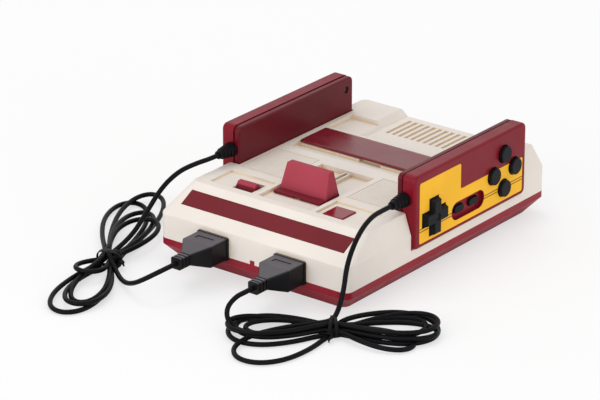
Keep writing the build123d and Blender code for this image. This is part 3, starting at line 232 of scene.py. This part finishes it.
def finish(name, base, rough, gloss=0.3, tone=0.05, bump=0.08, grain_scale=1400, edge=1.25, **more):
    """A moulded finish: uneven tone, fine grain, softened edges lightened partly as wear and partly as a
    painted highlight, uneven gloss.
    """
    edge_radius = 0.35 * MM
    made = bpy.data.materials.new(name)
    made.use_nodes = True
    tree = made.node_tree
    shader = tree.nodes["Principled BSDF"]
    place = tree.nodes.new("ShaderNodeTexCoord").outputs["Object"]
    cloudy = spread(tree, grain(tree, place, CLOUD_SCALE), 0.3, 0.7, 0, 1)
    paint = blend_colours(tree, cloudy, tint(base, 1 - tone), tint(base, 1 + tone))
    speckle = more.get("speckle")
    if speckle:
        dots = spread(tree, grain(tree, place, SPECKLE_SCALE, 1), 0.56, 0.72, 0, speckle)
        paint = blend_colours(tree, dots, paint, tint(base, 1.7))
    # Painted shade: where ambient occlusion finds hollows nearby, the colour turns towards the given shade
    # colour.
    recess = more.get("recess")
    if recess:
        reach = more["recess_reach"]
        hollow = add_node(tree, "ShaderNodeAmbientOcclusion", {"samples": 8}, Distance=reach)
        depth = spread(tree, hollow.outputs["AO"], 0.35, 0.95, 0.85, 0)
        paint = blend_colours(tree, depth, paint, recess + (1.0,))
    # Painted sheen: faces that point up are mixed towards a pale colour.
    bloom = more.get("bloom")
    if bloom:
        facing = tree.nodes.new("ShaderNodeSeparateXYZ")
        tree.links.new(tree.nodes.new("ShaderNodeTexCoord").outputs["Normal"], facing.inputs[0])
        upward = spread(tree, facing.outputs["Z"], 0.4, 0.95, 0, 1)
        paint = blend_colours(tree, upward, paint, bloom + (1.0,))
    pattern = more.get("pattern")
    if pattern:
        paint = pattern(tree, place, paint)
    soft = add_node(tree, "ShaderNodeBevel", {"samples": 6}, Radius=edge_radius)
    flat = tree.nodes.new("ShaderNodeNewGeometry").outputs["Normal"]
    turn = add_node(tree, "ShaderNodeVectorMath", {"operation": "DOT_PRODUCT"})
    tree.links.new(soft.outputs["Normal"], turn.inputs[0])
    tree.links.new(flat, turn.inputs[1])
    # Edges lightened partly as wear and partly as a painted highlight: where the softened normal turns from
    # the flat one, a lighter copy of the base colour is mixed in, unevenly.
    edge_wear_and_highlight = spread(tree, turn.outputs["Value"], 0.8, 0.99, 1, 0)
    uneven_edge_wear_and_highlight = add_node(tree, "ShaderNodeMath", {"operation": "MULTIPLY"})
    tree.links.new(edge_wear_and_highlight, uneven_edge_wear_and_highlight.inputs[0])
    tree.links.new(spread(tree, grain(tree, place, EDGE_WEAR_AND_HIGHLIGHT_SCALE), 0.35, 0.65, 0.35, 1), uneven_edge_wear_and_highlight.inputs[1])
    paint = blend_colours(tree, uneven_edge_wear_and_highlight.outputs[0], paint, tint(base, edge))
    tree.links.new(paint, shader.inputs["Base Color"])
    smudge = spread(tree, grain(tree, place, SMUDGE_SCALE, 4), 0.3, 0.7, rough - 0.05, rough + 0.06)
    tree.links.new(smudge, shader.inputs["Roughness"])
    shader.inputs["Specular IOR Level"].default_value = gloss
    fine = add_node(tree, "ShaderNodeBump", Strength=bump, Distance=BUMP_HEIGHT)
    tree.links.new(grain(tree, place, grain_scale, 3), fine.inputs["Height"])
    tree.links.new(soft.outputs["Normal"], fine.inputs["Normal"])
    tree.links.new(fine.outputs["Normal"], shader.inputs["Normal"])
    return made


def metal(name, base, rough):
    """A brushed metal finish."""
    made = finish(name, base, rough, gloss=0.5, tone=0.12, bump=0.05, grain_scale=3000)
    made.node_tree.nodes["Principled BSDF"].inputs["Metallic"].default_value = 1.0
    return made


def wear(node_names, material):
    """Gives CAD nodes a finish."""
    for name in node_names:
        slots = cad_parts[name].data.materials
        slots.clear()
        slots.append(material)


def lever_foot_shade(tree, place, paint):
    """Darkens the eject lever's foot below its grip, and the power knob's plate at the same height, with
    painted shade.
    """
    grip_height = 0.0162
    blur = 0.0002
    settings = bpy.context.scene.console_finishes
    foot_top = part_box("eject_lever")[1].z - grip_height
    parts = tree.nodes.new("ShaderNodeSeparateXYZ")
    tree.links.new(place, parts.inputs[0])
    below = spread(tree, parts.outputs["Z"], foot_top, foot_top + blur, 0.8, 0)
    return blend_colours(tree, below, paint, tint(settings.foot_shade_red, 1))


def plate_lines(tree, place, paint):
    """Two thin lines along a controller's plate, under its keys."""
    line_heights = (0.0356, 0.0338)
    half_line = 0.00034
    blur = 0.00006
    settings = bpy.context.scene.console_finishes
    parts = tree.nodes.new("ShaderNodeSeparateXYZ")
    tree.links.new(place, parts.inputs[0])
    for height in line_heights:
        off = add_node(tree, "ShaderNodeMath", {"operation": "SUBTRACT"})
        tree.links.new(parts.outputs["Z"], off.inputs[0])
        off.inputs[1].default_value = height
        away = add_node(tree, "ShaderNodeMath", {"operation": "ABSOLUTE"})
        tree.links.new(off.outputs[0], away.inputs[0])
        inked = spread(tree, away.outputs[0], half_line - blur, half_line + blur, 0.85, 0)
        paint = blend_colours(tree, inked, paint, tint(settings.plate_line, 1))
    return paint


# Modelling helpers


def deselect():
    """Leaves edit mode and clears the selection."""
    if bpy.context.mode != "OBJECT":
        bpy.ops.object.mode_set(mode="OBJECT")
    bpy.ops.object.select_all(action="DESELECT")


def pick(piece):
    """Makes one object the only one selected."""
    deselect()
    piece.select_set(True)
    bpy.context.view_layer.objects.active = piece


def apply_modifier(piece, kind, **settings):
    """Adds a modifier, sets it and applies it."""
    pick(piece)
    made = piece.modifiers.new(kind.title(), kind)
    for name, value in settings.items():
        setattr(made, name, value)
    bpy.ops.object.modifier_apply(modifier=made.name)


def select_faces(piece, wanted):
    """Enters edit mode with only the faces that pass a test selected."""
    pick(piece)
    bpy.ops.object.mode_set(mode="EDIT")
    bpy.ops.mesh.select_mode(type="FACE")
    bpy.ops.mesh.select_all(action="DESELECT")
    bpy.ops.object.mode_set(mode="OBJECT")
    for face in piece.data.polygons:
        face.select = wanted(face)
    bpy.ops.object.mode_set(mode="EDIT")


def select_edges(piece, wanted):
    """Enters edit mode with only the edges that pass a test selected, given their run."""
    pick(piece)
    bpy.ops.object.mode_set(mode="EDIT")
    bpy.ops.mesh.select_mode(type="EDGE")
    bpy.ops.mesh.select_all(action="DESELECT")
    bpy.ops.object.mode_set(mode="OBJECT")
    corners = piece.data.vertices
    for edge in piece.data.edges:
        first, second = edge.vertices
        edge.select = wanted((corners[second].co - corners[first].co).normalized())
    bpy.ops.object.mode_set(mode="EDIT")


def block(name, sides):
    """A box of three sides, at the origin."""
    deselect()
    bpy.ops.mesh.primitive_cube_add(size=1)
    made = bpy.context.view_layer.objects.active
    made.name = name
    made.scale = sides
    bpy.ops.object.transform_apply(location=False, rotation=False, scale=True)
    return made


def settle(piece, angle=35):
    """Puts a piece's place into its mesh, merges doubles, turns faces outwards and smooths."""
    pick(piece)
    bpy.ops.object.transform_apply(location=True, rotation=True, scale=True)
    bpy.ops.object.mode_set(mode="EDIT")
    bpy.ops.mesh.select_all(action="SELECT")
    bpy.ops.mesh.remove_doubles(threshold=0.00001)
    bpy.ops.mesh.normals_make_consistent(inside=False)
    bpy.ops.object.mode_set(mode="OBJECT")
    bpy.ops.object.shade_smooth_by_angle(angle=math.radians(angle))


# Cords


def lobe(tie, tip, half_width, rise):
    """Points of one loop of cord: a teardrop from the tie out to its tip and back."""
    points_each = 9
    first_turn = 40
    whole_turn = 280
    sharpness = 0.55
    widest = 0.719
    run = Vector(tip) - Vector(tie)
    across = Vector((-run.y, run.x)).normalized()
    leaving, returning, far = rise
    made = []
    for number in range(points_each):
        angle = math.radians(first_turn + whole_turn * number / (points_each - 1))
        out = (1 - math.cos(angle)) / 2
        side = -half_width * math.sin(angle) * out**sharpness / widest
        spot = Vector(tie) + run * out + across * side
        near = leaving if angle < math.pi else returning
        made.append((spot.x, spot.y, near * (1 - out) + far * out))
    return made


def wound(start, tie, across, turns, end):
    """Points of a whole cord: its run from the controller, the turns of its hank and its run to the plug."""
    made = list(start)
    for low, high, (first, second) in turns:
        made.append((tie[0] - first[0] * across[0], tie[1] - first[0] * across[1], first[1]))
        made += lobe(tie, low[0], low[1], (first[1], second[1], low[2]))
        made.append((tie[0] + second[0] * across[0], tie[1] + second[0] * across[1], second[1]))
        made += lobe(tie, high[0], high[1], (second[1], first[1], high[2]))
    return made + list(end)


# Each cord's run from the strain relief, its hank's turns and its run to the plug.
# X, the place behind the console's front and the height, in millimetres.
# A turn is its lower loop and its upper loop, each with tip, half width and height.
# After them come its two places at the tie, each with its distance from the middle and its height.
CORD_LAY = {
    "left": {
        "start": (
            (-69.3, 52.5, 56.5),
            (-69.3, 44.9, 56.5),
            (-73.6, 36.0, 55.2),
            (-79.6, 25.0, 51.6),
            (-84.8, 13.6, 42.4),
            (-89.6, 3.6, 26.6),
            (-92.4, -7.6, 13.8),
        ),
        "tie": (-94.0, -28.0),
        "across": (0.915, 0.404),
        "turns": (
            (((-68, -105), 15, 1.7), ((-148, 60), 14, 1.7), ((2.2, 5.0), (2.2, 1.7))),
            (((-64, -95), 13, 4.9), ((-142, 74), 14, 4.9), ((6.2, 1.7), (6.2, 1.7))),
            (((-69, -87), 10, 1.7), ((-125, 46), 11, 4.9), ((2.2, 8.3), (2.2, 5.0))),
            (((-91, -59), 9, 8.0), ((-111, 33), 13, 8.0), ((6.2, 5.0), (6.2, 5.0))),
        ),
        "end": (
            (-94.0, -29.0, 11.5),
            (-86.6, -34.0, 6.0),
            (-79.6, -37.5, 2.6),
            (-71.0, -43.6, 2.2),
            (-60.2, -50.8, 4.8),
            (-49.2, -56.0, 9.8),
            (-39.6, -57.0, 15.8),
            (-32.8, -53.2, 20.4),
            (-30.6, -45.4, 21.8),
            (-30.6, -37.8, 21.8),
        ),
    },
    "right": {
        "start": (
            (69.3, 52.5, 56.5),
            (69.3, 44.9, 56.5),
            (70.4, 32.0, 57.2),
            (72.6, 18.5, 54.6),
            (75.2, 5.6, 48.0),
            (76.8, -3.8, 37.0),
            (77.7, -7.6, 23.4),
            (78.0, -12.4, 13.0),
        ),
        "tie": (82.0, -24.0),
        "across": (0.60, -0.80),
        "turns": (
            (((58, -90), 18, 1.7), ((131, 20), 21, 1.7), ((2.2, 8.3), (2.2, 1.7))),
            (((29, -63), 20, 1.7), ((126, 14), 14, 4.9), ((6.2, 1.7), (6.2, 1.7))),
            (((33, -60), 16, 4.9), ((138, 9), 12, 4.9), ((2.2, 5.0), (2.2, 5.0))),
            (((39, -58), 11, 4.9), ((134, -11), 12, 1.7), ((6.2, 5.0), (6.2, 5.0))),
            (((31, -66), 15, 8.1), ((133, 17), 17, 8.1), ((2.2, 1.7), (2.2, 8.3))),
        ),
        "end": (
            (72.0, -33.0, 2.0),
            (60.0, -46.0, 1.8),
            (47.0, -56.0, 2.0),
            (36.0, -60.6, 3.4),
            (29.4, -61.6, 8.0),
            (27.4, -60.0, 15.4),
            (29.2, -53.4, 21.0),
            (30.6, -45.4, 21.8),
            (30.6, -37.8, 21.8),
        ),
    },
}


def laid_point(place):
    """A place of the cords' lay in the frame, in metres."""
    x, behind, height = place
    return Vector((x * MM, CONSOLE_FRONT + behind * MM, height * MM))


def cord_tube(name, points, diameter):
    """A tube along a smooth spline through the lay, and the points that it follows."""
    lay = bpy.data.curves.new(name, "CURVE")
    lay.dimensions = "3D"
    spline = lay.splines.new("NURBS")
    spline.points.add(len(points) - 1)
    for point, place in zip(spline.points, points):
        point.co = (*place, 1.0)
    spline.order_u = 3
    spline.use_endpoint_u = True
    spline.resolution_u = 6
    tube = bpy.data.objects.new(name, lay)
    bpy.context.scene.collection.objects.link(tube)
    bpy.context.view_layer.update()
    line = bpy.data.meshes.new_from_object(tube)
    path = [tuple(vertex.co) for vertex in line.vertices]
    bpy.data.meshes.remove(line)
    lay.bevel_depth = diameter / 2
    lay.bevel_resolution = 5
    lay.use_fill_caps = True
    pick(tube)
    bpy.ops.object.convert(target="MESH")
    tube = bpy.context.view_layer.objects.active
    bpy.ops.object.shade_smooth()
    return tube, path


class CONSOLE_OT_cords(bpy.types.Operator):
    """Both controllers' cords, each from its strain relief through its hank to its plug"""

    bl_idname = "console.cords"
    bl_label = "Cords"

    def execute(self, context):
        settings = context.scene.console_cords
        black = context.scene.console_finishes.rubber
        rubber = finish("cord_rubber", black, 0.4, gloss=0.08, tone=0.15, edge=1.0)
        for hand in HANDS:
            lay = CORD_LAY[hand]
            places = wound(lay["start"], lay["tie"], lay["across"], lay["turns"], lay["end"])
            points = [laid_point(place) for place in places]
            tube, path = cord_tube(f"{hand}_cord", points, settings.diameter)
            tube.data.materials.append(rubber)
            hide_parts(f"{hand}_controller_cord", f"{hand}_plug_cord", f"{hand}_hank")
            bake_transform(tube)
        return {"FINISHED"}


# Ties

# Each tie's two ends, beside the bundle: the height, the way they point and their length
TIE_ENDS = {
    "left": ((0.0042, (0.35, -0.9, -0.28), 0.0095), (0.0062, (0.75, -0.6, -0.2), 0.0080)),
    "right": ((0.0036, (0.25, -0.95, -0.2), 0.0075), (0.0052, (-0.9, -0.35, -0.25), 0.0095)),
}
# Each wrap's shift along the bundle and its slant in degrees
TIE_WRAPS = ((-0.0013, 5), (0.0012, -6))


def tie_wrap(settings, tie, across, shift, slant):
    """One wrap of a twist tie: a flat band closed around the bundle's waist."""
    wrap = block("wrap", (2 * settings.tie_reach, settings.tie_rise, settings.tie_width))
    select_faces(wrap, lambda face: abs(face.normal.z) > 0.9)
    bpy.ops.mesh.delete(type="FACE")
    bpy.ops.object.mode_set(mode="OBJECT")
    select_edges(wrap, lambda run: abs(run.z) > 0.9)
    corner = 0.4 * settings.tie_rise
    bpy.ops.mesh.bevel(offset=corner, segments=6, affect="EDGES")
    bpy.ops.object.mode_set(mode="OBJECT")
    apply_modifier(wrap, "SOLIDIFY", thickness=settings.tie_thickness, offset=-1)
    apply_modifier(wrap, "BEVEL", width=settings.tie_thickness / 4, segments=2)
    up = Vector((0, 0, 1))
    along = across.cross(up)
    turn = Matrix((across, up, along)).transposed().to_4x4()
    middle = tie + along * shift + up * (settings.tie_rise / 2)
    slanted = Matrix.Rotation(math.radians(slant), 4, up)
    wrap.matrix_world = Matrix.Translation(middle) @ slanted @ turn
    settle(wrap)
    return wrap


def tie_end(settings, start, aim, length):
    """One free end of a twist tie: a flat strip, twisted about its length."""
    twist = math.radians(210)
    strip = block("strip", (settings.tie_width, settings.tie_thickness, length))
    select_faces(strip, lambda face: True)
    bpy.ops.mesh.subdivide(number_cuts=11)
    bpy.ops.object.mode_set(mode="OBJECT")
    apply_modifier(strip, "SIMPLE_DEFORM", deform_method="TWIST", deform_axis="Z", angle=twist)
    strip.rotation_euler = aim.to_track_quat("Z", "Y").to_euler()
    strip.location = start + aim * (length / 2)
    settle(strip)
    return strip


class CONSOLE_OT_ties(bpy.types.Operator):
    """Twist ties, two wraps and two twisted ends around the waist of each hank"""

    bl_idname = "console.ties"
    bl_label = "Twist ties"

    def execute(self, context):
        settings = context.scene.console_cords
        black = context.scene.console_finishes.rubber
        coated = finish("tie_coating", black, 0.5, gloss=0.12, tone=0.15, edge=2.0)
        pieces = []
        for hand in HANDS:
            lay = CORD_LAY[hand]
            tie = laid_point((*lay["tie"], 0))
            across = Vector((*lay["across"], 0)).normalized()
            pieces += [tie_wrap(settings, tie, across, *wrap) for wrap in TIE_WRAPS]
            for height, aim, length in TIE_ENDS[hand]:
                start = tie + across * settings.tie_reach + Vector((0, 0, height))
                pieces.append(tie_end(settings, start, Vector(aim).normalized(), length))
        deselect()
        for piece in pieces:
            piece.select_set(True)
        context.view_layer.objects.active = pieces[0]
        bpy.ops.object.join()
        ties = context.view_layer.objects.active
        ties.name = "twist_ties"
        ties.data.materials.clear()
        ties.data.materials.append(coated)
        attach(ties, "console")
        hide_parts("cord_ties")
        return {"FINISHED"}


# Spring


class CONSOLE_OT_spring(bpy.types.Operator):
    """Spring behind the eject lever"""

    bl_idname = "console.spring"
    bl_label = "Eject spring"

    def execute(self, context):
        settings = context.scene.console_spring
        wire_sides = 12
        steps_each = 28
        smooth_angle = 60
        low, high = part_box("eject_spring")
        middle = (low + high) / 2
        length = high.y - low.y
        half_wire = settings.wire / 2
        deselect()
        bpy.ops.mesh.primitive_circle_add(vertices=wire_sides, radius=half_wire)
        spring = context.view_layer.objects.active
        spring.name = "lever_spring"
        spring.location.x = (high.x - low.x) / 2 - half_wire
        spring.rotation_euler.x = math.radians(90)
        bpy.ops.object.transform_apply(location=True, rotation=True, scale=True)
        pitch = (length - settings.wire) / settings.turns
        coil = {"iterations": settings.turns, "steps": steps_each, "render_steps": steps_each}
        apply_modifier(spring, "SCREW", axis="Z", screw_offset=pitch, **coil)
        bpy.ops.object.mode_set(mode="EDIT")
        bpy.ops.mesh.select_all(action="SELECT")
        bpy.ops.mesh.fill_holes(sides=0)
        bpy.ops.object.mode_set(mode="OBJECT")
        spring.rotation_euler.x = math.radians(-90)
        spring.location = (middle.x, low.y + half_wire, middle.z)
        settle(spring, smooth_angle)
        steel = metal("spring_steel", context.scene.console_finishes.spring_steel, 0.28)
        spring.data.materials.append(steel)
        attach(spring, "console")
        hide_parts("eject_spring")
        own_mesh(spring)
        return {"FINISHED"}


# Finishes


class CONSOLE_OT_finishes(bpy.types.Operator):
    """Finishes of the case, the controllers and everything inside"""

    bl_idname = "console.finishes"
    bl_label = "Finishes"

    def execute(self, context):
        paint = context.scene.console_finishes
        # The cream takes painted shade, in tan, in its hollows.
        cream = finish(
            "cream_moulded",
            paint.cream,
            0.55,
            gloss=0.16,
            tone=0.02,
            edge=1.05,
            bump=0.10,
            recess=tuple(paint.tan),
            recess_reach=0.005,
        )
        wear(["top_shell"], cream)
        wear(["base_shell"], finish("base_red_moulded", paint.base_red, 0.36, gloss=0.28, edge=1.5))
        wear(["cartridge_flap"], finish("flap_red_satin", paint.flap_red, 0.26, gloss=0.55, edge=1.5))
        # The lever and knob take painted shade on the foot below the grip and in their hollows.
        lever_red = finish(
            "lever_red_matt",
            paint.lever_red,
            0.6,
            gloss=0.12,
            speckle=0.25,
            bump=0.25,
            edge=1.3,
            recess=tuple(paint.foot_shade_red),
            recess_reach=0.008,
            pattern=lever_foot_shade,
        )
        wear(["eject_lever", "power_knob"], lever_red)
        wear(["reset_button"], finish("reset_red_gloss", paint.reset_red, 0.14, gloss=0.5, edge=1.5))
        wear(["front_label"], finish("label_maroon_print", paint.label_red, 0.5, gloss=0.1))
        crimson = finish("crimson_moulded", paint.crimson, 0.34, gloss=0.18, tone=0.06, edge=1.8)
        # Painted shade: a darker copy of the crimson for the back covers.
        shaded_back_red = finish("back_red_moulded", paint.shaded_back_red, 0.36, gloss=0.2, tone=0.06, edge=2.2)
        black = finish("black_moulded", paint.black, 0.4, gloss=0.1, tone=0.12, edge=3.0)
        rubber = finish(
            "black_rubber_moulded",
            paint.rubber,
            0.42,
            gloss=0.2,
            tone=0.15,
            bump=0.2,
            edge=2.4,
            bloom=tuple(paint.bloom),
        )
        relief = finish("relief_rubber", paint.rubber, 0.45, gloss=0.1, tone=0.15, bump=0.2, edge=2.4)
        grey = finish("grey_rubber_matt", paint.grey, 0.75, gloss=0.2)
        board = finish("green_board_lacquer", paint.green, 0.35, gloss=0.5)
        steel = metal("steel_bright", paint.steel, 0.32)
        plate = finish(
            "yellow_plate_print",
            paint.yellow,
            0.42,
            gloss=0.12,
            tone=0.04,
            speckle=0.1,
            edge=1.04,
            pattern=plate_lines,
        )
        dark_steel = metal("steel_dark", paint.dark_steel, 0.45)
        wear(["rubber_feet"], grey)
        wear(["case_screws", "flap_hinge_pin", "board_screws"], steel)
        wear(["switch_board", "main_board"], board)
        wear(
            [
                "ejector_lifter",
                "power_switch",
                "reset_switch",
                "board_components",
                "cartridge_connector",
                "controller_ports",
                "rear_sockets",
            ],
            black,
        )
        for hand in HANDS:
            wear([f"{hand}_controller_front"], crimson)
            wear([f"{hand}_controller_back"], shaded_back_red)
            wear([f"{hand}_face_plate"], plate)
            wear([f"{hand}_controller_screws"], dark_steel)
            wear([f"{hand}_controller_board"], board)
            wear([f"{hand}_button_mats"], grey)
            keys = ("dpad", "dpad_pivot", "button_outer", "button_upper", "button_inner", "button_lower")
            wear([f"{hand}_{key}" for key in (*keys, "select_key", "start_key")], black)
            wear([f"{hand}_strain_relief"], relief)
            wear([f"{hand}_plug"], rubber)
        return {"FINISHED"}


# Stage

# Where the lamps stand, in metres
LAMP_PLACES = {"key": (-0.9, 0.5, 3.0), "front": (-0.2, -3.0, 0.6), "side": (3.0, -0.5, 0.35)}
FLOOR_HEIGHT = -0.0002
SENSOR_WIDTH = 36
FARTHEST_SEEN = 100
WHITE = (1, 1, 1, 1)


def lay_floor(settings):
    """A pale floor that the camera sees a little whiter than it is lit."""
    deselect()
    bpy.ops.mesh.primitive_plane_add(size=settings.floor_size, location=(0, 0, FLOOR_HEIGHT))
    floor = bpy.context.view_layer.objects.active
    floor.name = "floor"
    ground = bpy.data.materials.new("floor_pale")
    ground.use_nodes = True
    tree = ground.node_tree
    shader = tree.nodes["Principled BSDF"]
    shader.inputs["Base Color"].default_value = (*settings.floor_colour, 1)
    shader.inputs["Roughness"].default_value = 0.9
    shader.inputs["Specular IOR Level"].default_value = 0.0
    glow = add_node(tree, "ShaderNodeEmission", Color=WHITE, Strength=1.0)
    watched = tree.nodes.new("ShaderNodeLightPath")
    amount = add_node(tree, "ShaderNodeMath", {"operation": "MULTIPLY"})
    tree.links.new(watched.outputs["Is Camera Ray"], amount.inputs[0])
    amount.inputs[1].default_value = settings.floor_glow
    lit = tree.nodes.new("ShaderNodeMixShader")
    tree.links.new(amount.outputs[0], lit.inputs[0])
    tree.links.new(shader.outputs[0], lit.inputs[1])
    tree.links.new(glow.outputs[0], lit.inputs[2])
    tree.links.new(lit.outputs[0], tree.nodes["Material Output"].inputs["Surface"])
    floor.data.materials.append(ground)


def hang_sky(scene, settings):
    """Soft light from all round, before a white backdrop."""
    world = bpy.data.worlds.new("soft_sky")
    scene.world = world
    world.use_nodes = True
    tree = world.node_tree
    sky = tree.nodes["Background"]
    sky.inputs["Color"].default_value = WHITE
    sky.inputs["Strength"].default_value = settings.sky
    backdrop = add_node(tree, "ShaderNodeBackground", Color=WHITE, Strength=1.0)
    seen = tree.nodes.new("ShaderNodeLightPath")
    any_seen = add_node(tree, "ShaderNodeMath", {"operation": "MAXIMUM"})
    tree.links.new(seen.outputs["Is Camera Ray"], any_seen.inputs[0])
    tree.links.new(seen.outputs["Is Glossy Ray"], any_seen.inputs[1])
    through = add_node(tree, "ShaderNodeMath", {"operation": "MAXIMUM"})
    tree.links.new(any_seen.outputs[0], through.inputs[0])
    tree.links.new(seen.outputs["Is Transmission Ray"], through.inputs[1])
    either = tree.nodes.new("ShaderNodeMixShader")
    tree.links.new(through.outputs[0], either.inputs[0])
    tree.links.new(sky.outputs[0], either.inputs[1])
    tree.links.new(backdrop.outputs[0], either.inputs[2])
    tree.links.new(either.outputs[0], tree.nodes["World Output"].inputs["Surface"])


def set_lamps(scene, settings):
    """Three square lamps, each turned to the origin."""
    for name, place in LAMP_PLACES.items():
        lamp = bpy.data.lights.new(f"{name}_lamp", "AREA")
        lamp.energy = getattr(settings, f"{name}_power")
        lamp.size = getattr(settings, f"{name}_size")
        stand = bpy.data.objects.new(f"{name}_lamp", lamp)
        stand.location = place
        stand.rotation_euler = (-Vector(place)).to_track_quat("-Z", "Y").to_euler()
        scene.collection.objects.link(stand)


def set_camera(scene, settings):
    """The camera, as it stood for the photo."""
    eye = bpy.data.cameras.new("camera")
    eye.lens = settings.lens
    eye.sensor_width = SENSOR_WIDTH
    eye.clip_end = FARTHEST_SEEN
    camera = bpy.data.objects.new("camera", eye)
    camera.location = settings.camera_place
    aim = Vector(settings.camera_aim).to_track_quat("-Z", "Y")
    camera.rotation_euler = aim.to_euler()
    camera.rotation_euler.rotate_axis("Z", settings.camera_roll)
    scene.collection.objects.link(camera)
    scene.camera = camera


class CONSOLE_OT_stage(bpy.types.Operator):
    """Pale floor, soft light and the camera"""

    bl_idname = "console.stage"
    bl_label = "Stage"

    def execute(self, context):
        settings = context.scene.console_stage
        context.scene.view_settings.view_transform = "Standard"
        lay_floor(settings)
        hang_sky(context.scene, settings)
        set_lamps(context.scene, settings)
        set_camera(context.scene, settings)
        return {"FINISHED"}


class VIEW3D_PT_console(bpy.types.Panel):
    """Lists the operators of the console's looks"""

    bl_label = "Console"
    bl_idname = "VIEW3D_PT_console"
    bl_space_type = "VIEW_3D"
    bl_region_type = "UI"
    bl_category = "Console"

    def draw(self, context):
        for operator in OPERATORS:
            self.layout.operator(operator.bl_idname)


OPERATORS = (CONSOLE_OT_stage, CONSOLE_OT_cords, CONSOLE_OT_ties, CONSOLE_OT_spring, CONSOLE_OT_finishes)
SETTINGS = {
    "console_stage": StageSettings,
    "console_cords": CordSettings,
    "console_spring": SpringSettings,
    "console_finishes": FinishSettings,
}


def register():
    """Registers the settings, the operators and the panel."""
    for made in (*SETTINGS.values(), *OPERATORS, VIEW3D_PT_console):
        bpy.utils.register_class(made)
    for name, group in SETTINGS.items():
        setattr(bpy.types.Scene, name, bpy.props.PointerProperty(type=group))


def unregister():
    """Takes the panel, the operators and the settings away."""
    for name in SETTINGS:
        delattr(bpy.types.Scene, name)
    for made in (VIEW3D_PT_console, *reversed(OPERATORS), *reversed(SETTINGS.values())):
        bpy.utils.unregister_class(made)


def main():
    """Dresses the whole object."""
    register()
    for operator in OPERATORS:
        group, name = operator.bl_idname.split(".")
        getattr(getattr(bpy.ops, group), name)()


if __name__ == "__main__":
    main()
